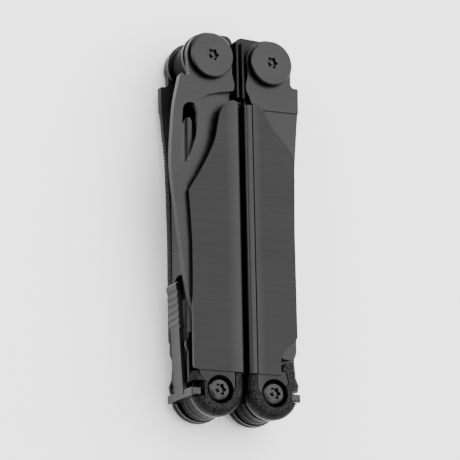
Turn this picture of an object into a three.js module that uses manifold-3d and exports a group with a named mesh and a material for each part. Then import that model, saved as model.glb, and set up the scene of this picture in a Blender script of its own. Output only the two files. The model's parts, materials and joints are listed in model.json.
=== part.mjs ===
// Folding-pliers multi-tool, closed: two channel handles hinged to the plier arms at the top,
// four outside blades on the same two pivots, and the inside tools on an axle at each handle's foot.
// Millimetres, +Z is the front face, +Y runs towards the plier pivots, Z = 0 is the lowest face.
import * as THREE from 'three';
import { mergeVertices } from 'three/addons/utils/BufferGeometryUtils.js';
import Module from 'manifold-3d';

const wasm = await Module();
wasm.setup();

// ---- driving dimensions ----
const HALF = 8.9; // half the thickness over the pivot discs
const PIVOT = [-8.6, 44.8]; // left plier pivot, which also carries two outside blades
const AXLE = [-7.7, -43.2]; // left tool axle
const JOINT = [0, 27]; // rivet where the plier arms cross
const OUTER = -15; // outside face of the left handle's web
const INNER = -0.6; // face of the left handle on the gap between the handles
const COVER_FOOT = -38.5; // where the covers end and the bolsters start
const COVER_TOP = 33.2;
const WALL = 1; // sheet of the frame and covers
const FOLD = { r: 1.4, reach: 2.05 }; // rounded fold of a sheet over the handle's inner side
const CAVITY = 4; // half the clear height inside a handle
const LINER = CAVITY + WALL;
const BLADE = [5.2, 7.1]; // outside blade, between liner and cover
const COVER = [7.3, 8.3];
const DISC = [7.3, HALF];
const DISC_R = 6;
const NECK_R = 5.3; // neck that lifts the disc off the blade tangs
const POST_R = 2.4;
const AXLE_R = 2;
const RUN = 0.1; // running clearance on a shaft
const GAP = 0.3; // gap between touching pieces
const EAR_TOP = 52.4; // highest corner of the plier arms
const EYE_R = 6.9; // frame around the pivot
const TANG_R = 6.6; // blade tang around the pivot
const BOLSTER = [5.2, 8]; // cast end over the tool axle
const BOLSTER_R = 7.2;
const RECESS_R = 3.65; // round pocket around the axle screw
// slots that let the lever's cross-bar through; the one on the knife side is taller
const SLOT = { left: -16.6, right: -12.1, low: -45.2, knifeHigh: -41.2, fileHigh: -42.3 };
const LOCK = { left: -11.2, right: -9, foot: 4, tip: 37.3, relief: 0.3 }; // leaf of the liner lock
const BEND = 1.2; // outside radius where the liners turn into the web
const PIN_STAR = 1.75; // reach of the six-lobed recesses
const STRIP = { right: -13.1, top: 28.2 }; // liner left standing outside the leaf

// ---- shapes and solids ----
const shapeOf = (points) => new THREE.Shape(points.map(([x, y]) => new THREE.Vector2(x, y)));

function arc([cx, cy], r, from, to, steps) {
  const points = [];
  for (let i = 0; i <= steps; i++) {
    const a = THREE.MathUtils.degToRad(from + ((to - from) * i) / steps);
    points.push([cx + r * Math.cos(a), cy + r * Math.sin(a)]);
  }
  return points;
}

function curve(points, steps) {
  const line = new THREE.SplineCurve(points.map(([x, y]) => new THREE.Vector2(x, y)));
  return line.getPoints(steps).map((p) => [p.x, p.y]);
}

function solid(geometry) {
  const bare = geometry.clone();
  bare.deleteAttribute('normal');
  bare.deleteAttribute('uv');
  const merged = mergeVertices(bare, 1e-4);
  return new wasm.Manifold(new wasm.Mesh({
    numProp: 3,
    vertProperties: new Float32Array(merged.attributes.position.array),
    triVerts: new Uint32Array(merged.index.array),
  }));
}

function geometryOf(body) {
  const { vertProperties, triVerts } = body.getMesh();
  const geometry = new THREE.BufferGeometry();
  geometry.setAttribute('position', new THREE.BufferAttribute(new Float32Array(vertProperties), 3));
  geometry.setIndex(new THREE.BufferAttribute(new Uint32Array(triVerts), 1));
  geometry.computeVertexNormals();
  return geometry;
}

function plate(points, low, high) {
  const geometry = new THREE.ExtrudeGeometry(shapeOf(points), { depth: high - low, bevelEnabled: false });
  return solid(geometry.translate(0, 0, low));
}

function pillow(points, low, high, round, segments) {
  const geometry = new THREE.ExtrudeGeometry(shapeOf(points), {
    depth: high - low - 2 * round,
    bevelThickness: round,
    bevelSize: round,
    bevelOffset: -round,
    bevelSegments: segments,
  });
  return solid(geometry.translate(0, 0, low + round));
}

function rod([x, y], r, low, high, sides = 24) {
  const geometry = new THREE.CylinderGeometry(r, r, high - low, sides);
  return solid(geometry.rotateX(Math.PI / 2).translate(x, y, (low + high) / 2));
}

function box(x, y, z) {
  const geometry = new THREE.BoxGeometry(x[1] - x[0], y[1] - y[0], z[1] - z[0]);
  return solid(geometry.translate((x[0] + x[1]) / 2, (y[0] + y[1]) / 2, (z[0] + z[1]) / 2));
}

// a turned piece: profile of [radius, height], closed on the axis
function turned([x, y], profile, sides = 36) {
  const points = profile.map(([r, z]) => new THREE.Vector2(r, z));
  return solid(new THREE.LatheGeometry(points, sides).rotateX(Math.PI / 2).translate(x, y, 0));
}

// six-lobed driver recess with a pin left standing in its middle
function driverRecess([x, y], r, low, high) {
  const star = [];
  for (let i = 0; i < 24; i++) {
    const a = (i / 24) * 2 * Math.PI;
    const reach = r * (0.84 + 0.16 * Math.cos(6 * a));
    star.push([x + reach * Math.cos(a), y + reach * Math.sin(a)]);
  }
  return plate(star, low, high).subtract(rod([x, y], r * 0.3, low - 1, high + 1, 8));
}

const flip = (body) => body.rotate([0, 180, 0]);
const mirrorZ = (body) => body.scale([1, 1, -1]);

// ---- one handle, drawn as the left one ----
const BOLSTER_CENTRE = [INNER - BOLSTER_R, AXLE[1] + 0.6];
const FOOT_R = BOLSTER_R - 0.1;
const JOG = [[OUTER, -29.8], [OUTER - 0.7, -31], [OUTER - 0.7, -32.2], [OUTER, -33.4]];

// liner seen from the front; jog is an optional step in its outer edge
function linerOutline(jog) {
  return [
    [INNER - 0.1, BOLSTER_CENTRE[1]],
    [INNER - 0.1, COVER_TOP - 1],
    [INNER - 1.2, COVER_TOP],
    [INNER - 2.2, 37.6],
    ...arc(PIVOT, EYE_R, -25, 269, 26),
    [LOCK.right + GAP, LOCK.foot - GAP],
    [STRIP.right, LOCK.foot - GAP],
    [STRIP.right, STRIP.top - 1],
    [STRIP.right - 0.5, STRIP.top],
    [OUTER + 0.5, STRIP.top],
    [OUTER, STRIP.top - 0.8],
    ...jog,
    [OUTER, AXLE[1] + 2],
    ...arc(BOLSTER_CENTRE, FOOT_R, 190, 360, 14).slice(0, -1),
  ];
}

// sheet standing on the inner side of the handle and rolled over towards the front, foot to top
function fold(standing, foot, top) {
  const section = [
    [INNER, standing],
    ...arc([INNER - FOLD.r, COVER[1] - FOLD.r], FOLD.r, 0, 90, 7),
    [INNER - FOLD.reach, COVER[1]],
    [INNER - FOLD.reach, COVER[0]],
    [INNER - WALL, COVER[0]],
    [INNER - WALL, standing],
  ];
  return plate(section, -top, -foot).rotate([90, 0, 0]);
}

// what a bend takes off the sharp corner between a liner and the web
function bendCut(low, high) {
  const centre = [OUTER + BEND, LINER - BEND];
  const corner = [
    ...arc(centre, BEND, 180, 90, 6),
    [OUTER + BEND, LINER + 1],
    [OUTER - 1, LINER + 1],
    [OUTER - 1, LINER - BEND],
  ];
  return plate(corner, -high, -low).rotate([90, 0, 0]);
}

function frame() {
  const windowTop = -16.4;
  const windowHalf = 3.7;
  const web = box([OUTER, OUTER + WALL], [-37.5, 27], [-LINER, LINER]);
  const arch = new THREE.CylinderGeometry(windowHalf, windowHalf, 6, 24).rotateZ(Math.PI / 2);
  const window = box([OUTER - 2, OUTER + 2], [-50, windowTop], [-windowHalf, windowHalf])
    .add(solid(arch.translate(OUTER, windowTop, 0)));
  const flange = mirrorZ(fold(CAVITY + 0.1, COVER_FOOT, COVER_TOP - 0.6));
  return plate(linerOutline(JOG), CAVITY, LINER)
    .add(plate(linerOutline([]), -LINER, -CAVITY))
    .add(web)
    .add(flange)
    .subtract(window)
    .subtract(bendCut(-28.5, 30))
    .subtract(mirrorZ(bendCut(-28.5, 30)))
    .subtract(box([SLOT.left, SLOT.right], [SLOT.low, SLOT.knifeHigh], [0, HALF]))
    .subtract(box([SLOT.left, SLOT.right], [SLOT.low, SLOT.fileHigh], [-HALF, 0]))
    .subtract(rod(PIVOT, POST_R + RUN, -HALF, HALF))
    .subtract(rod(AXLE, AXLE_R + RUN, -HALF, HALF));
}

// spring leaf cut from the liner, which drops behind the open blade's tang
function linerLock() {
  const points = [
    [LOCK.left, LOCK.foot],
    [LOCK.right, LOCK.foot],
    [LOCK.right, LOCK.tip],
    [LOCK.left + 0.9, LOCK.tip + 0.4],
    [LOCK.left, LOCK.tip - 0.6],
  ];
  return plate(points, CAVITY, LINER - LOCK.relief);
}

// tongue of each cover that reaches under the axle screw
const KNIFE_TAB = [
  [-13.9, COVER_FOOT],
  [-13.1, -40],
  [-11.6, -41.4],
  [-10.4, -42.3],
  [-8, -43.4],
  [-4.6, -43.1],
  [-3.6, -42.5],
  [-3.6, COVER_FOOT],
];
const FILE_TAB = [
  [-10.9, COVER_FOOT],
  [-11.6, -40.4],
  [-10.8, -41.3],
  [-8, -43.4],
  [-3.6, -43.2],
  [-3, -42.3],
  [-3, COVER_FOOT],
];
const TAB = [COVER[0], COVER[1] - 0.4];

const lifted = (points) => points.map(([x, y]) => [x, y === COVER_FOOT ? y + 1 : y]);

function grown(points, by) {
  const middle = points.reduce(([a, b], [x, y]) => [a + x / points.length, b + y / points.length], [0, 0]);
  return points.map(([x, y]) => {
    const away = new THREE.Vector2(x - middle[0], y - middle[1]).setLength(by);
    return [x + away.x, y + away.y];
  });
}

const tongue = (points) => plate(lifted(points), ...TAB)
  .subtract(rod(AXLE, RECESS_R + 0.05, 0, HALF, 28));

const KNIFE_COVER_OUTLINE = [
  [INNER, COVER_FOOT],
  [INNER, 32.6],
  ...curve([[-2.3, 33.2], [-3.3, 33.2], [-5.3, 31.6], [-6.6, 29.4], [-7.3, 26], [-8.2, 21.9],
    [-10, 17.8], [-12.4, 13.4], [-14.6, 9.8], [-15.9, 7.7]], 22),
  [-15.5, 2],
  [-15.1, -5.5],
  [-15.1, -37.4],
  [-14.8, -38.2],
  [-14.1, COVER_FOOT],
];
const FILE_COVER_OUTLINE = [
  [INNER - FOLD.reach - GAP, COVER_FOOT],
  [INNER - FOLD.reach - GAP, COVER_TOP],
  ...curve([[-3.3, 33.2], [-4.6, 32.7], [-5.8, 31.7], [-6.7, 30.3], [-8.1, 27.8], [-9.5, 25.9],
    [-11.6, 23.6], [-13.1, 22.3], [-14.9, 19.4]], 16),
  [-14.6, 8],
  [-14.4, -1],
  [-14.4, -28.4],
  ...curve([[-13.7, -29.5], [-11.6, -31.1], [-10, -33.2], [-9.4, -35.2], [-9.5, -37]], 8),
  [-9.6, COVER_FOOT],
];

// cover of the knife: its inner edge is folded over the side of the handle
function knifeCover() {
  const foldTop = 32.6;
  return plate(KNIFE_COVER_OUTLINE, ...COVER)
    .subtract(box([INNER - FOLD.reach + 0.1, INNER + 1], [COVER_FOOT - 1, foldTop], [0, HALF]))
    .add(fold(LINER + GAP, COVER_FOOT, foldTop))
    .add(tongue(KNIFE_TAB));
}

const fileCover = () => mirrorZ(plate(FILE_COVER_OUTLINE, ...COVER).add(tongue(FILE_TAB)));

// the casting stops under the cover's foot; on the file side an ear of it stands beside the cover's cut-out
const KNIFE_CROP = [[-20, COVER_FOOT - 0.2], [2, COVER_FOOT - 0.2], [2, -20], [-20, -20]];
const FILE_CROP = [
  [-9.8, COVER_FOOT - 0.2],
  [2, COVER_FOOT - 0.2],
  [2, -20],
  [-20, -20],
  [-20, -36],
  [-13.9, -35.2],
  [-12.4, -34.9],
  [-11, -35.3],
  [-10.3, -36.3],
];

function bolster(tab, crop, slotHigh) {
  const outline = [
    ...arc(BOLSTER_CENTRE, BOLSTER_R, 180, 360, 20),
    [BOLSTER_CENTRE[0] + BOLSTER_R, -32],
    [-14, -32],
    [-14.6, -38.7],
    [-15.4, -40.6],
  ];
  return pillow(outline, 0.4, BOLSTER[1], 2.1, 4)
    .subtract(box([-20, 2], [-60, -20], [-1, BOLSTER[0]]))
    .subtract(plate(crop, -1, 10))
    .subtract(plate(grown(lifted(tab), 0.25), TAB[0] - 0.25, 10))
    .subtract(box([SLOT.left - 1, SLOT.right], [SLOT.low, slotHigh], [-1, 10]))
    .subtract(rod(AXLE, RECESS_R, 6, 10, 28))
    .subtract(rod(AXLE, AXLE_R + RUN, 0, 10, 20));
}

function pivotHead(extra) {
  const under = DISC[1] - 0.8;
  const profile = [
    [0, DISC[0]],
    [NECK_R, DISC[0]],
    [NECK_R, under],
    [DISC_R, under],
    [DISC_R, DISC[1] - 0.25],
    [DISC_R - 0.25, DISC[1]],
    [0, DISC[1]],
  ];
  return turned(PIVOT, profile, 40)
    .add(extra)
    .subtract(driverRecess(PIVOT, PIN_STAR, DISC[1] - 0.9, DISC[1] + 1));
}

const pivotScrew = () => pivotHead(rod(PIVOT, 1.3, 1.2, DISC[0] + 0.1, 12));

const pivotPost = () => mirrorZ(
  pivotHead(rod(PIVOT, POST_R, -BLADE[1] + 0.1, DISC[0] + 0.1))
    .subtract(rod(PIVOT, 1.5, -9, -0.6, 12)),
);

function axleHead(extra) {
  const dome = [[0, 6.2], [3.4, 6.2], [3.35, 6.6], [3.05, 7.1], [2.5, 7.5], [1.9, 7.7], [0, 7.75]];
  return turned(AXLE, dome, 28)
    .add(extra)
    .subtract(driverRecess(AXLE, PIN_STAR, 6.7, HALF));
}

const axleScrew = () => axleHead(rod(AXLE, 1.1, 0.6, 6.3, 12));

const axlePost = () => mirrorZ(
  axleHead(rod(AXLE, AXLE_R, -5.9, 6.3)).subtract(rod(AXLE, 1.3, -9, -0.3, 12)),
);

// T-shaped release lever: cross-bar in the bolster slots, stem up the window, ridged thumb pad
const LEVER = {
  bar: { left: -15.4, right: -12.6, low: -44.9, high: -42.9 },
  foot: -44, // where the lever turns
  outer: -15.5, // outside face at the foot
  lean: 0.052, // outward lean per mm of height
  top: -14.9,
  thick: 1.2,
  padFoot: -27,
  padHalf: 2.9,
  stemHalf: 2.4,
  ridges: 6,
  pitch: 1.75,
  proud: 0.35,
};

function lockLever() {
  const outerAt = (y) => LEVER.outer - (y - LEVER.foot) * LEVER.lean;
  const ridges = [];
  for (let i = 0; i < LEVER.ridges; i++) {
    const y = LEVER.top - 1 - (i + 1) * LEVER.pitch;
    ridges.push([outerAt(y) - LEVER.proud, y + 0.45]);
    ridges.push([outerAt(y), y + 0.1]);
  }
  const pad = [
    [outerAt(LEVER.top) + LEVER.thick, LEVER.top - 0.4],
    [outerAt(LEVER.top) + 0.7, LEVER.top],
    [outerAt(LEVER.top) + 0.1, LEVER.top - 0.2],
    [outerAt(LEVER.top) - LEVER.proud, LEVER.top - 0.9],
    ...ridges,
    [outerAt(LEVER.padFoot), LEVER.padFoot],
    [outerAt(LEVER.padFoot) + LEVER.thick, LEVER.padFoot],
  ];
  const stem = [
    [outerAt(LEVER.padFoot + 1) + LEVER.thick, LEVER.padFoot + 1],
    [outerAt(LEVER.padFoot + 1), LEVER.padFoot + 1],
    [LEVER.outer, LEVER.foot],
    [LEVER.outer + LEVER.thick, LEVER.foot],
  ];
  const { left, right, low, high } = LEVER.bar;
  const bar = pillow([[left, low], [right, low], [right, high], [left, high]], -7.3, 7.3, 0.35, 2)
    .subtract(box([left + LEVER.thick, right + 1], [low - 1, high + 1], [-LINER - 0.1, LINER + 0.1]));
  return plate(pad, -LEVER.padHalf, LEVER.padHalf)
    .add(plate(stem, -LEVER.stemHalf, LEVER.stemHalf))
    .add(bar);
}

const leverSpring = () => box([OUTER + WALL + 0.2, OUTER + WALL + 0.5], [-36.4, -19], [-1.4, 1.4]);

// ---- outside blades ----
const pivotHole = (low, high) => rod(PIVOT, POST_R + RUN, low, high);
const SPINE = [[-17.3, 38.7], [-18.6, 33], [-19.3, 28.5], [-20.1, 18.1], [-20, 12.5], [-19.4, 6.5],
  [-18.5, -0.2], [-17.6, -7], [-16.5, -15], [-14.9, -23], [-12, -32]];

const EDGE = [[-9.6, -30.4], [-6.6, -26], [-4.7, -19.5], [-3.9, -10], [-3.7, 5], [-3.6, 20], [-3.5, 29]];

function knifeOutline() {
  return [
    ...arc(PIVOT, TANG_R, -15, 190, 20),
    [-14.75, 41],
    ...arc([-15.7, 40], 1.1, -10, -150, 6),
    ...curve(SPINE, 22),
    ...curve(EDGE, 14),
    [-3.1, 33.4],
    [-2.7, 35.3],
    [-1.75, 36.7],
    [-1.65, 38.3],
    [-2.3, 41],
  ];
}

// opening hole: a long egg, wide near the pivot
const THUMB_HOLE = [
  ...arc([-14.35, 29.4], 2.3, 0, 180, 12),
  [-17.2, 22],
  ...arc([-16.2, 16.8], 1.35, 190, 345, 8),
  [-12.7, 23],
];
// flat grind: starts at the curved plunge below the tang and runs down to the tip
const GRIND = [
  [-1, 36.4],
  [-6.2, 35.4],
  [-9.2, 34.4],
  [-11.2, 33.2],
  [-12.6, 32],
  [-15, 29],
  [-16.4, 14.3],
  [-15.8, 8],
  [-15.1, -3],
  [-14, -14],
  [-12.6, -24],
  [-11.5, -34],
  [0, -34],
];
const GRIND_DEPTH = { spine: 0.22, edge: 1.5 };

function knife() {
  const wedge = [
    [-17, BLADE[1] - GRIND_DEPTH.spine],
    [-3, BLADE[1] - GRIND_DEPTH.edge],
    [0, BLADE[1] - GRIND_DEPTH.edge],
    [0, HALF],
    [-17, HALF],
  ];
  const sloped = plate(wedge, -40, 40).rotate([90, 0, 0]);
  return plate(knifeOutline(), ...BLADE)
    .subtract(plate(THUMB_HOLE, CAVITY, HALF))
    .subtract(pivotHole(CAVITY, HALF))
    .subtract(plate(GRIND, CAVITY, HALF).intersect(sloped));
}

function serratedKnife() {
  const teeth = Array.from({ length: 12 }, (_, i) => rod([-3.1, 27 - i * 2.3], 1.25, 4, 9, 10));
  return teeth.reduce((body, tooth) => body.subtract(tooth), knife());
}

const SQUARE_TANG = [
  ...arc(PIVOT, TANG_R, -15, 185, 20),
  [-14.9, 42],
  [-14.9, 40],
  [-15.5, 39.2],
  [-17.1, 39.1],
  [-17, 32.6],
];
const BACK = [[-16.6, 28.6], [-15.7, 18], [-15.1, 8], [-14.9, -5], [-14.8, -32]];
const TOE = [[-14.2, -33.6], [-12.6, -34.1], [-10.9, -33.9], [-9.6, -32.6], [-7.5, -28.4]];

// blade with a square shoulder; thinner than its tang on the outer face
function squareBlade(back, edge) {
  const outline = [
    ...SQUARE_TANG,
    ...back,
    ...TOE,
    ...edge,
    [-3.4, 29.8],
    [-3.3, 33.4],
    [-2.6, 35.3],
    [-1.8, 36.8],
    [-1.7, 38.3],
    [-2.3, 41],
  ];
  const thinned = [[-30, 32.6], [2, 31.9], [2, -40], [-30, -40]];
  return mirrorZ(plate(outline, ...BLADE)
    .subtract(plate(thinned, BLADE[1] - 0.35, HALF))
    .subtract(pivotHole(CAVITY, HALF)));
}

function saw() {
  const teeth = { count: 22, pitch: 2.5, first: -25.5, root: -4.6, tip: -3.4 };
  const edge = [];
  for (let i = 0; i < teeth.count; i++) {
    const y = teeth.first + i * teeth.pitch;
    edge.push([teeth.root, y], [teeth.tip, y + teeth.pitch / 2]);
  }
  return squareBlade(BACK, edge);
}

// the file's back edge is cut across as a small wood saw
function file() {
  const cuts = { count: 46, pitch: 0.9, first: 24.5, deep: 0.32 };
  const back = [BACK[0]];
  for (let i = 0; i < cuts.count; i++) {
    const y = cuts.first - i * cuts.pitch;
    const next = BACK.findIndex((point) => point[1] <= y);
    const [[x0, y0], [x1, y1]] = [BACK[next - 1], BACK[next]];
    const x = x0 + ((x1 - x0) * (y - y0)) / (y1 - y0);
    back.push([x, y], [x + cuts.deep, y - cuts.pitch / 2]);
  }
  back.push(BACK[BACK.length - 1]);
  return squareBlade(back, [[-3.4, -27.6]]);
}

// ---- pliers ----
const ARM = 3.8;
const JAW_OUTER = [[6.6, 25], [6.3, 20], [5.5, 12], [4.7, 4], [3.7, -6], [2.8, -14], [2.1, -18.4]];

function plierArm() {
  const shank = [
    ...arc(PIVOT, 5.9, 100, 235, 16),
    [-8.4, 33],
    [-6.2, 29],
    [-3, 27],
    [-0.4, 29],
    [-0.4, 50.3],
    [-0.7, 51.3],
    [-1.3, 52],
    [-2.2, EAR_TOP],
    [-7.9, EAR_TOP - 0.2],
  ];
  const jaw = [
    [0.15, 22],
    [0.15, 13],
    ...arc([-3.4, 8], 4.3, 30, -30, 5),
    [0.15, 3],
    [0.15, -18.6],
    [0.9, -19.1],
    ...JAW_OUTER.slice().reverse(),
    [3, 30],
  ];
  // half thickness of the jaw along its length, from the tip up
  const nose = [[1.9, -19.5], [2.3, -14], [3.6, 10], [3.7, 40]];
  const wings = nose.map(([z, y]) => [-z, y]).reverse();
  const taper = plate([...nose, ...wings], -20, 20).rotate([0, 90, 0]);
  const rib = pillow([[-1.2, 34.4], [-0.4, 34.4], [-0.4, 49.8], [-1.2, 49.8]], -7.5, 7.5, 0.3, 2);
  return plate(shank, -ARM, ARM)
    .add(plate(jaw, -ARM, ARM).intersect(taper))
    .subtract(rod(JOINT, 7.2, -9, 0.1, 32))
    .add(rod(JOINT, 6.9, 0.1, ARM, 32))
    .add(rib)
    .subtract(rod(PIVOT, POST_R + RUN, -9, 9))
    .subtract(rod(JOINT, 2.3, -9, 9));
}

const plierRivet = () => rod(JOINT, 2.2, -ARM, ARM, 28);

// ---- inside tools, all drawn on the left axle ----
const SCISSOR_RIVET = [-10.6, -16];
const TOOL_TANG = 6.2;

function insideTool(body, low, high) {
  const outline = [...arc(AXLE, TOOL_TANG, 135, 400, 18), [-5.4, -37.4], ...body, [-13.2, -38.4]];
  return plate(outline, low, high).subtract(rod(AXLE, AXLE_R + RUN, low - 1, high + 1));
}

function largeBitDriver() {
  const body = [[-7.8, -30], [-7.8, 6], [-8.4, 7], [-12.6, 7], [-13.2, 6]];
  return insideTool(body, 0.1, 3.8).subtract(box([-12.3, -8.7], [-14, 8], [0.9, 3]));
}

const driverBit = () => box([-12, -9], [-13.7, 9], [1.2, 2.7]);

function canOpener() {
  const body = [
    [-7.6, -30],
    [-7.6, -12],
    [-8.6, -9.5],
    [-8, -6],
    [-7.8, -1],
    [-9, 2],
    [-12.6, 0],
    [-13.2, -4],
  ];
  return insideTool(body, -1.9, -0.2);
}

function screwdriver(tip, width, low, high) {
  const middle = -10.5;
  const body = [
    [-7.9, -32],
    [-7.9, -24],
    [middle + width / 2, -20],
    [middle + width / 2, tip],
    [middle - width / 2, tip],
    [middle - width / 2, -20],
    [-13, -24],
  ];
  return insideTool(body, low, high);
}

function scissorsFixedBlade() {
  const body = [[-7.8, -30], [-7.8, -18], [-9.2, -14], [-10.4, 6], [-11, 8], [-13.2, 2]];
  return insideTool(body, 1, 2.1).subtract(rod(SCISSOR_RIVET, 1, 0, 3, 16));
}

function scissorsMovingBlade() {
  const outline = [
    [-8.2, -34],
    [-7.9, -18],
    [-8.6, -14],
    [-9.4, 5],
    [-9.9, 7],
    [-12, -2],
    [-12.4, -18],
    [-10, -22],
    [-9.8, -34],
  ];
  return plate(outline, -0.3, 0.8).subtract(rod(SCISSOR_RIVET, 1, -1, 2, 16));
}

const scissorsRivet = () => rod(SCISSOR_RIVET, 0.9, -0.3, 2.1, 16);

// thin spacer on the axle
const spacer = (low, high) => rod(AXLE, TOOL_TANG - 0.1, low, high, 40)
  .subtract(rod(AXLE, AXLE_R + RUN, low - 1, high + 1));

function lanyardLink() {
  const outline = [...arc(AXLE, TOOL_TANG - 0.2, 100, 400, 18), [-5.4, -37.4], [-7.4, -36.8]];
  return plate(outline, -3.8, -2.4).subtract(rod(AXLE, AXLE_R + RUN, -5, 0));
}

// ---- assembly ----
const steel = (hex, roughness) => new THREE.MeshStandardMaterial({
  color: hex,
  roughness,
  metalness: 0.85,
});
const PLATE = () => steel(0x4d4d4d, 0.42);
const CAST = () => steel(0x444444, 0.62);
const SCREW = () => steel(0x606060, 0.32);
const INNER_STEEL = () => steel(0x3c3c3c, 0.45);

function place(group, name, body, material) {
  const mesh = new THREE.Mesh(geometryOf(body), material);
  mesh.name = name;
  group.add(mesh);
}

function handle(side, knifeName, fileName) {
  const group = new THREE.Group();
  const knifeFace = side === 'left' ? 'front' : 'back';
  const fileFace = side === 'left' ? 'back' : 'front';
  place(group, `${side}_frame`, frame(), PLATE());
  place(group, `${knifeName}_cover`, knifeCover(), PLATE());
  place(group, `${fileName}_cover`, fileCover(), PLATE());
  place(group, `${side}_${knifeFace}_bolster`, bolster(KNIFE_TAB, KNIFE_CROP, SLOT.knifeHigh), CAST());
  const fileBolster = mirrorZ(bolster(FILE_TAB, FILE_CROP, SLOT.fileHigh));
  place(group, `${side}_${fileFace}_bolster`, fileBolster, CAST());
  place(group, `${side}_pivot_screw`, pivotScrew(), SCREW());
  place(group, `${side}_pivot_post`, pivotPost(), SCREW());
  place(group, `${side}_axle_screw`, axleScrew(), SCREW());
  place(group, `${side}_axle_post`, axlePost(), SCREW());
  place(group, `${side}_lock_lever`, lockLever(), INNER_STEEL());
  place(group, `${side}_lever_spring`, leverSpring(), INNER_STEEL());
  place(group, `${knifeName}_lock`, linerLock(), PLATE());
  place(group, `${fileName}_lock`, mirrorZ(linerLock()), PLATE());
  return group;
}

const left = handle('left', 'knife', 'file');
place(left, 'knife', knife(), PLATE());
place(left, 'file', file(), INNER_STEEL());
place(left, 'large_bit_driver', largeBitDriver(), INNER_STEEL());
place(left, 'driver_bit', driverBit(), SCREW());
place(left, 'can_opener', canOpener(), INNER_STEEL());
place(left, 'medium_screwdriver', screwdriver(2, 4.4, -3.8, -2.2), INNER_STEEL());

const right = handle('right', 'serrated_knife', 'saw');
right.rotation.y = Math.PI;
place(right, 'serrated_knife', serratedKnife(), PLATE());
place(right, 'saw', saw(), PLATE());
place(right, 'large_screwdriver', screwdriver(6, 5, 2.4, 3.8), INNER_STEEL());
place(right, 'scissors_fixed_blade', scissorsFixedBlade(), INNER_STEEL());
place(right, 'scissors_moving_blade', scissorsMovingBlade(), INNER_STEEL());
place(right, 'scissors_rivet', scissorsRivet(), SCREW());
place(right, 'small_bit_driver', screwdriver(-4, 3, -2.2, -0.6), INNER_STEEL());
place(right, 'right_front_spacer', spacer(-0.45, -0.05), INNER_STEEL());
place(right, 'right_back_spacer', spacer(0.25, 0.7), INNER_STEEL());
place(right, 'lanyard_link', lanyardLink(), INNER_STEEL());

const pliers = new THREE.Group();
place(pliers, 'left_plier_arm', plierArm(), INNER_STEEL());
place(pliers, 'right_plier_arm', flip(plierArm()), INNER_STEEL());
place(pliers, 'plier_rivet', plierRivet(), SCREW());

const tool = new THREE.Group();
tool.position.set(0, (BOLSTER_R - BOLSTER_CENTRE[1] - EAR_TOP) / 2, HALF);
tool.add(left, right, pliers);

export default tool;
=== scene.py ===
"""Looks of the folding-pliers multi-tool: black-oxide steel, brushed covers, tumbled cast bolsters."""

import json
import math

import bpy
from mathutils import Matrix, Vector


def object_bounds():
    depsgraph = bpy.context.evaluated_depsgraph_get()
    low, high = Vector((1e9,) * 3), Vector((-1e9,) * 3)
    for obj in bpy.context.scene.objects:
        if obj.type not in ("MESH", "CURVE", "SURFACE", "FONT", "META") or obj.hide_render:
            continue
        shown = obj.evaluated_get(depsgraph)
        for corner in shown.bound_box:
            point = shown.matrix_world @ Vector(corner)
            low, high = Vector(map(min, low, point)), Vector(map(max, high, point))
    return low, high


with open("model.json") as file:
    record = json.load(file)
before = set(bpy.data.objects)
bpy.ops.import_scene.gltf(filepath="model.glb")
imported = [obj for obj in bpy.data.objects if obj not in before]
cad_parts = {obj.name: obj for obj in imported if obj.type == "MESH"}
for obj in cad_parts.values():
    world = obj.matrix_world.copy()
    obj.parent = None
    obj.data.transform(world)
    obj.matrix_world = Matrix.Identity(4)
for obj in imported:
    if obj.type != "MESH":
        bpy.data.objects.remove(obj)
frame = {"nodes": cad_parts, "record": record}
CAD_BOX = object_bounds()
MM = 0.001


# ---- camera, floor and light ----
CAMERA_YAW = math.radians(26.7)  # towards the knife side
CAMERA_PITCH = math.radians(-14.7)  # towards the foot of the handles
CAMERA_ROLL = math.radians(1.12)
CAMERA_DISTANCE = 0.6226
CAMERA_LENS = 187.8
AIM = Vector((-0.0002, -0.00057, 0.0089))  # point the camera looks at

FLOOR_SIZE = 4
FLOOR_TONE = (0.93, 0.93, 0.93, 1)
FLOOR_DROP = 0.2 * MM  # keeps the floor from fighting with the part's lowest faces

WORLD = 1.38
LIGHTS = (  # name, place, size, power
    ("key", (0.42, 0.3, 0.89), 1.6, 40),
    ("left", (-0.68, 0.3, 0.4), 0.45, 3.2),
)


def camera():
    yaw = Matrix.Rotation(CAMERA_YAW, 3, "Y")
    pitch = Matrix.Rotation(CAMERA_PITCH, 3, "X")
    roll = Matrix.Rotation(CAMERA_ROLL, 3, "Z")
    view = roll @ pitch @ yaw
    data = bpy.data.cameras.new("camera")
    data.lens = CAMERA_LENS
    data.sensor_width = 36
    data.clip_start = 0.05
    data.clip_end = 20
    place = view.transposed().to_4x4()
    place.translation = AIM + Vector(view[2]) * CAMERA_DISTANCE
    eye = bpy.data.objects.new("camera", data)
    eye.matrix_world = place
    bpy.context.collection.objects.link(eye)
    bpy.context.scene.camera = eye


def area_light(name, place, size, power):
    data = bpy.data.lights.new(name, "AREA")
    data.size = size
    data.energy = power
    lamp = bpy.data.objects.new(name, data)
    lamp.location = place
    lamp.rotation_euler = (Vector((0, 0, 0)) - Vector(place)).to_track_quat("-Z", "Y").to_euler()
    bpy.context.collection.objects.link(lamp)


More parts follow.
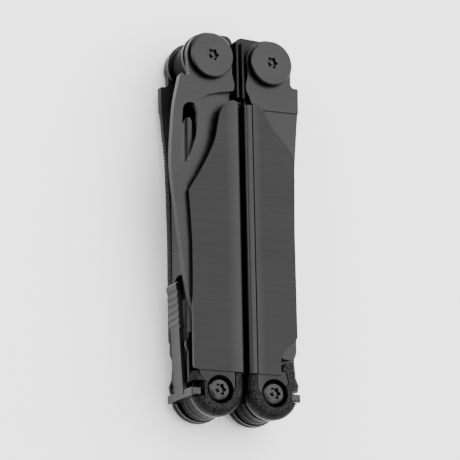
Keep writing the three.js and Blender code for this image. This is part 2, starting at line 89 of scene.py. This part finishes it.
def studio():
    bpy.ops.mesh.primitive_plane_add(size=FLOOR_SIZE, location=(0, 0, CAD_BOX[0][2] - FLOOR_DROP))
    floor = bpy.context.object
    floor.name = "floor"
    material = bpy.data.materials.new("floor")
    material.use_nodes = True
    shader = material.node_tree.nodes["Principled BSDF"]
    shader.inputs["Base Color"].default_value = FLOOR_TONE
    shader.inputs["Roughness"].default_value = 1
    shader.inputs["Specular IOR Level"].default_value = 0
    floor.data.materials.append(material)
    world = bpy.data.worlds.new("studio")
    world.use_nodes = True
    world.node_tree.nodes["Background"].inputs["Color"].default_value = (1, 1, 1, 1)
    world.node_tree.nodes["Background"].inputs["Strength"].default_value = WORLD
    bpy.context.scene.world = world
    for name, place, size, power in LIGHTS:
        area_light(name, place, size, power)


# ---- finishes ----
FILE_ROW_TURN = 32  # degrees, each way across the file
FILE_ROW_SCALE = 620


class Steel:
    """A black-oxide steel finish, built node by node; edge dims its glancing reflections."""

    def __init__(self, name, edge=1):
        self.material = bpy.data.materials.new(name)
        self.material.use_nodes = True
        self.tree = self.material.node_tree
        self.shader = self.tree.nodes["Principled BSDF"]
        self.shader.inputs["Metallic"].default_value = 1
        self.shader.inputs["Specular Tint"].default_value = (edge, edge, edge, 1)
        self.place = self.tree.nodes.new("ShaderNodeTexCoord").outputs["Object"]
        self.height = None

    def noise(self, scale, stretch=(1, 1, 1), detail=4, rough=0.55):
        mapping = self.tree.nodes.new("ShaderNodeMapping")
        mapping.inputs["Scale"].default_value = stretch
        self.tree.links.new(self.place, mapping.inputs["Vector"])
        texture = self.tree.nodes.new("ShaderNodeTexNoise")
        texture.inputs["Scale"].default_value = scale
        texture.inputs["Detail"].default_value = detail
        texture.inputs["Roughness"].default_value = rough
        self.tree.links.new(mapping.outputs["Vector"], texture.inputs["Vector"])
        return texture.outputs["Fac"]

    def spread(self, value, low, high, start=0.3, stop=0.7):
        ramp = self.tree.nodes.new("ShaderNodeMapRange")
        ramp.inputs["From Min"].default_value = start
        ramp.inputs["From Max"].default_value = stop
        ramp.inputs["To Min"].default_value = low
        ramp.inputs["To Max"].default_value = high
        self.tree.links.new(value, ramp.inputs["Value"])
        return ramp.outputs["Result"]

    def maths(self, kind, a, b):
        node = self.tree.nodes.new("ShaderNodeMath")
        node.operation = kind
        for socket, value in zip(node.inputs, (a, b)):
            if isinstance(value, (int, float)):
                socket.default_value = value
            else:
                self.tree.links.new(value, socket)
        return node.outputs["Value"]

    def colour(self, amount):
        """Neutral grey of the given amount."""
        join = self.tree.nodes.new("ShaderNodeCombineColor")
        for channel in ("Red", "Green", "Blue"):
            self.tree.links.new(amount, join.inputs[channel])
        self.tree.links.new(join.outputs["Color"], self.shader.inputs["Base Color"])

    def painted_facing_tone(self, front, painted_side_tone):
        """The first amount on faces that look out of the front or back, the second on the sides;
        painted light and shade, the side tone set for how the lamps light the sides.
        """
        normal = self.tree.nodes.new("ShaderNodeTexCoord").outputs["Normal"]
        split = self.tree.nodes.new("ShaderNodeSeparateXYZ")
        self.tree.links.new(normal, split.inputs["Vector"])
        return self.spread(self.maths("ABSOLUTE", split.outputs["Z"], 0), painted_side_tone, front, 0.3, 0.9)

    def rough(self, amount):
        self.tree.links.new(amount, self.shader.inputs["Roughness"])

    def bump(self, height, distance, strength=1.0):
        node = self.tree.nodes.new("ShaderNodeBump")
        node.inputs["Distance"].default_value = distance
        node.inputs["Strength"].default_value = strength
        self.tree.links.new(height, node.inputs["Height"])
        if self.height:
            self.tree.links.new(self.height, node.inputs["Normal"])
        self.height = node.outputs["Normal"]
        self.tree.links.new(self.height, self.shader.inputs["Normal"])


def brushed(name, tone, roughness, streaks=0.13, painted_side_tone=None, painted_gap_highlight=0):
    """Sheet brushed across the handle: fine lines along X; the gap amount paints a highlight that
    brightens it towards the gap.
    """
    steel = Steel(name)
    fine = steel.noise(1, (70, 2300, 2300), 4, 0.65)
    broad = steel.noise(70, (0.5, 1, 1), 3)
    scratch = steel.spread(steel.noise(1, (40, 1400, 1400), 2), 0, 0.14, 0.64, 0.8)
    lines = steel.spread(fine, 1 - streaks, 1 + streaks)
    shade = steel.maths("ADD", lines, steel.spread(broad, -0.06, 0.06))
    shade = steel.maths("ADD", shade, scratch)
    # painted highlight: the sheet gets lighter towards the gap between the handles
    if painted_gap_highlight:
        split = steel.tree.nodes.new("ShaderNodeSeparateXYZ")
        steel.tree.links.new(steel.place, split.inputs["Vector"])
        reach = steel.maths("ABSOLUTE", split.outputs["X"], 0)
        shade = steel.maths("ADD", shade, steel.spread(reach, painted_gap_highlight, 0, 1.8 * MM, 5.2 * MM))
    # painted light and shade: sideways faces get their own tone for how the lamps light them
    steel.colour(steel.maths("MULTIPLY", shade, steel.painted_facing_tone(tone, painted_side_tone) if painted_side_tone else tone))
    steel.rough(steel.spread(fine, roughness - 0.06, roughness + 0.08))
    steel.bump(fine, 0.000006, 0.5)
    return steel.material


def filed(name, tone, roughness):
    """Hardened file: fine cross-cut rows over satin steel."""
    steel = Steel(name)
    rows = []
    for turn in (FILE_ROW_TURN, -FILE_ROW_TURN):
        mapping = steel.tree.nodes.new("ShaderNodeMapping")
        mapping.inputs["Rotation"].default_value = (0, 0, math.radians(turn))
        steel.tree.links.new(steel.place, mapping.inputs["Vector"])
        wave = steel.tree.nodes.new("ShaderNodeTexWave")
        wave.bands_direction = "Y"
        wave.inputs["Scale"].default_value = FILE_ROW_SCALE
        wave.inputs["Distortion"].default_value = 0.2
        steel.tree.links.new(mapping.outputs["Vector"], wave.inputs["Vector"])
        rows.append(wave.outputs["Fac"])
    cut = steel.maths("MULTIPLY", *rows)
    steel.colour(steel.maths("MULTIPLY", steel.spread(cut, 0.75, 1.3, 0, 1), tone))
    steel.rough(steel.spread(cut, roughness + 0.1, roughness, 0, 1))
    steel.bump(cut, 0.00005, 0.7)
    return steel.material


def tumbled(name, tone, roughness, edge=1):
    """Cast steel with the pebbled skin that tumbling leaves."""
    steel = Steel(name, edge)
    grain = steel.noise(2600, detail=4)
    cloud = steel.noise(800, detail=4)
    speckle = steel.spread(grain, 0.35, 1.75, 0.4, 0.62)
    shade = steel.maths("ADD", speckle, steel.spread(cloud, -0.2, 0.2))
    steel.colour(steel.maths("MULTIPLY", shade, tone))
    steel.rough(steel.spread(grain, roughness - 0.08, roughness + 0.12))
    steel.bump(cloud, 0.00015, 0.8)
    steel.bump(grain, 0.00028, 1)
    return steel.material


def satin(name, tone, roughness, painted_side_tone=None, edge=1):
    """Even satin steel with faint clouds."""
    steel = Steel(name, edge)
    fine = steel.noise(3500, detail=3)
    cloud = steel.noise(160, detail=4)
    shade = steel.maths("ADD", steel.spread(fine, 0.94, 1.06), steel.spread(cloud, -0.07, 0.07))
    # painted light and shade: sideways faces get their own tone for how the lamps light them
    steel.colour(steel.maths("MULTIPLY", shade, steel.painted_facing_tone(tone, painted_side_tone) if painted_side_tone else tone))
    steel.rough(steel.spread(cloud, roughness - 0.05, roughness + 0.07))
    steel.bump(fine, 0.000006, 0.4)
    return steel.material


# the side tones below are painted light and shade on faces that look sideways
FINISHES = {
    # the cover's gap amount is a painted highlight towards the gap between the handles
    "cover": brushed("cover", 0.0142, 0.36, streaks=0.13, painted_side_tone=0.025, painted_gap_highlight=0.45),
    "frame": satin("frame", 0.0195, 0.34, painted_side_tone=0.026),
    "lock": satin("lock", 0.0125, 0.34, painted_side_tone=0.02),
    "blade": brushed("blade", 0.0188, 0.34, streaks=0.1, painted_side_tone=0.022),
    "cast_steel": tumbled("cast_steel", 0.0125, 0.34, edge=0.7),
    "pivot_disc": brushed("pivot_disc", 0.0192, 0.32, streaks=0.1, painted_side_tone=0.03),
    "screw": satin("screw", 0.021, 0.2, painted_side_tone=0.04),
    "lever": satin("lever", 0.0235, 0.34, painted_side_tone=0.036),
    "plier_steel": satin("plier_steel", 0.0125, 0.4, edge=0.6),
    "tool_steel": satin("tool_steel", 0.018, 0.34, painted_side_tone=0.014, edge=0.7),
    "file_cut": filed("file_cut", 0.028, 0.4),
}


def finish_of(name, slot):
    """Finish of a CAD node: the record's slot, apart from the file and the spring locks."""
    if name == "file":
        return FINISHES["file_cut"]
    if name.endswith("_lock"):
        return FINISHES["lock"]
    return FINISHES[slot]


COVER_EDGE = 0.17 * MM
OTHER_EDGE = 0.12 * MM
EDGE_SEGMENTS = 2
EDGE_ANGLE = math.radians(35)


def soften(piece, width):
    """Break the sharp corners, as tumbling does, and keep the flat faces flat."""
    bevel = piece.modifiers.new("edges", "BEVEL")
    bevel.width = width
    bevel.segments = EDGE_SEGMENTS
    bevel.limit_method = "ANGLE"
    bevel.angle_limit = EDGE_ANGLE
    normals = piece.modifiers.new("normals", "WEIGHTED_NORMAL")
    normals.keep_sharp = True


def finish_nodes():
    slots = {row["node"]: row["material_slot"] for row in frame["record"]["subparts"]}
    for name, piece in frame["nodes"].items():
        piece.data.materials.clear()
        piece.data.materials.append(finish_of(name, slots[name]))
        soften(piece, COVER_EDGE if name.endswith("cover") else OTHER_EDGE)
        for face in piece.data.polygons:
            face.use_smooth = True


camera()
studio()
finish_nodes()
